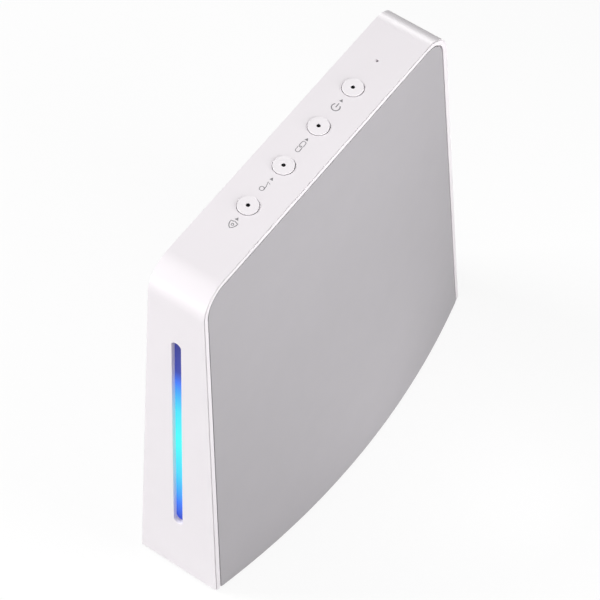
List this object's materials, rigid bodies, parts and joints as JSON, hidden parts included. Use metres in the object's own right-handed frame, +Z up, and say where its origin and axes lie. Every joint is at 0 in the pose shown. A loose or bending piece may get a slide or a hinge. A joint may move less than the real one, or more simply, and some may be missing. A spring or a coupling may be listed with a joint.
{
  "type": "smart home hub",
  "caption": "Tall slim free-standing smart home hub: white band, bowed grey side panels, glowing front light slot, spring-back round buttons on top, rear network, USB and power sockets.",
  "frame": {"origin": "on the floor under the middle of the hub", "axes": "+Z up; the front with the light slot faces -Y; the sockets face +Y; +X to the right as seen from the front"},
  "size_m": [0.0338, 0.0996, 0.1083],
  "materials": {
    "white_plastic": "satin white moulding",
    "grey_panel": "fine matt light grey",
    "button_white": "satin white moulding",
    "dark_window": "smoked black window",
    "base_plastic": "matt grey moulding",
    "rubber_dark": "soft dark grey rubber",
    "screw_steel": "zinc plated",
    "weight_steel": "plain rolled steel",
    "diffuser": "frosted light guide, lit",
    "circuit_board": "green solder mask",
    "led_body": "white package with a clear window",
    "connector_ivory": "ivory nylon",
    "switch_body": "dark grey moulding",
    "black_plastic": "black moulding",
    "mic_can": "gold plated can",
    "can_steel": "tinned shield can",
    "pad_grey": "soft thermal pad",
    "spreader_aluminium": "plain sheet",
    "antenna_brass": "stamped sheet",
    "capacitor_blue": "printed sleeve",
    "contact_gold": "gold plated",
    "socket_shell": "nickel plated"
  },
  "bodies": {
    "hub": {"housing": "white_plastic", "cover_left": "white_plastic", "cover_right": "white_plastic", "panel_left": "grey_panel", "panel_right": "grey_panel", "base": "base_plastic", "feet": "rubber_dark", "base_screws": "screw_steel", "ballast": "weight_steel", "light_bar": "diffuser", "light_board": "circuit_board", "leds": "led_body", "light_screws": "screw_steel", "light_link": "connector_ivory", "button_board": "circuit_board", "switches": "switch_body", "button_screws": "screw_steel", "button_header": "connector_ivory", "microphone": "mic_can", "mic_gasket": "rubber_dark", "main_board": "circuit_board", "soc_shield": "can_steel", "thermal_pad": "pad_grey", "heat_spreader": "spreader_aluminium", "radio_shield": "can_steel", "antenna_front": "antenna_brass", "antenna_rear": "antenna_brass", "buzzer": "black_plastic", "capacitors": "capacitor_blue", "rj45_jack": "black_plastic", "rj45_contacts": "contact_gold", "usb_a_socket": "socket_shell", "usb_a_tongue": "black_plastic", "usb_c_socket": "socket_shell", "usb_c_tongue": "black_plastic"},
    "button_shield": {"button_shield": "button_white", "dot_shield": "dark_window", "plunger_shield": "black_plastic"},
    "button_note": {"button_note": "button_white", "dot_note": "dark_window", "plunger_note": "black_plastic"},
    "button_chain": {"button_chain": "button_white", "dot_chain": "dark_window", "plunger_chain": "black_plastic"},
    "button_power": {"button_power": "button_white", "dot_power": "dark_window", "plunger_power": "black_plastic"}
  },
  "joints": [
    {"name": "press_shield", "type": "slide", "parent": "hub", "child": "button_shield", "axis": [0, 0, -1], "range_m": [0, 0.0004], "stiffness_N_per_m": 800, "springref_m": -0.0004},
    {"name": "press_note", "type": "slide", "parent": "hub", "child": "button_note", "axis": [0, 0, -1], "range_m": [0, 0.0004], "stiffness_N_per_m": 800, "springref_m": -0.0004},
    {"name": "press_chain", "type": "slide", "parent": "hub", "child": "button_chain", "axis": [0, 0, -1], "range_m": [0, 0.0004], "stiffness_N_per_m": 800, "springref_m": -0.0004},
    {"name": "press_power", "type": "slide", "parent": "hub", "child": "button_power", "axis": [0, 0, -1], "range_m": [0, 0.0004], "stiffness_N_per_m": 800, "springref_m": -0.0004}
  ]
}
